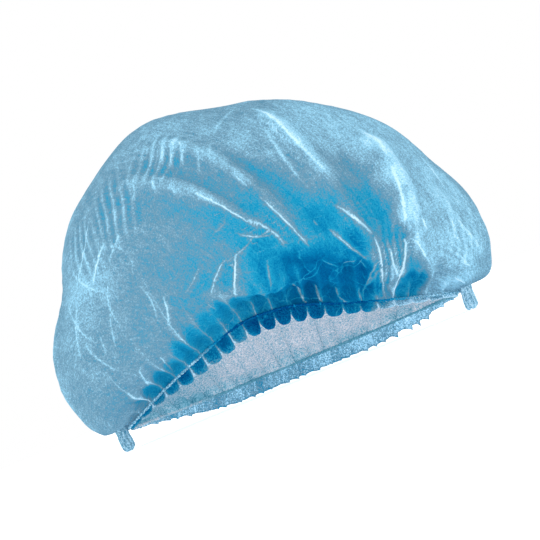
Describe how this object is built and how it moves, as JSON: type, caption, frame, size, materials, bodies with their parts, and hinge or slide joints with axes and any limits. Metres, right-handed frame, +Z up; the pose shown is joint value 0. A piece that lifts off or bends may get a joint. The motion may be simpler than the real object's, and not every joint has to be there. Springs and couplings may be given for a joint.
{
  "type": "disposable pleated bouffant cap",
  "caption": "Light pleated nonwoven cap that puffs up over the hair, gathered on an elastic at front and back, with welded strip ends and a small frill below each elastic.",
  "frame": {"origin": "middle of the overall size in plan, on the surface that the back frill and the two end tufts rest on", "axes": "+X from the left welded end to the right one, +Y away from the lifted front hem, +Z up"},
  "size_m": [0.266, 0.179, 0.1742],
  "materials": {
    "crown_cloth": "thin spun-bonded nonwoven polypropylene, light blue, matt, lets light through",
    "hem_cloth": "the same nonwoven in several gathered layers, so deeper blue",
    "elastic": "elastic thread seen through the cloth that is welded round it"
  },
  "bodies": {
    "root": {"crown": "crown_cloth", "front_elastic": "elastic", "back_elastic": "elastic", "front_frill": "hem_cloth", "back_frill": "hem_cloth", "left_end_tuft": "hem_cloth", "right_end_tuft": "hem_cloth"}
  },
  "joints": []
}
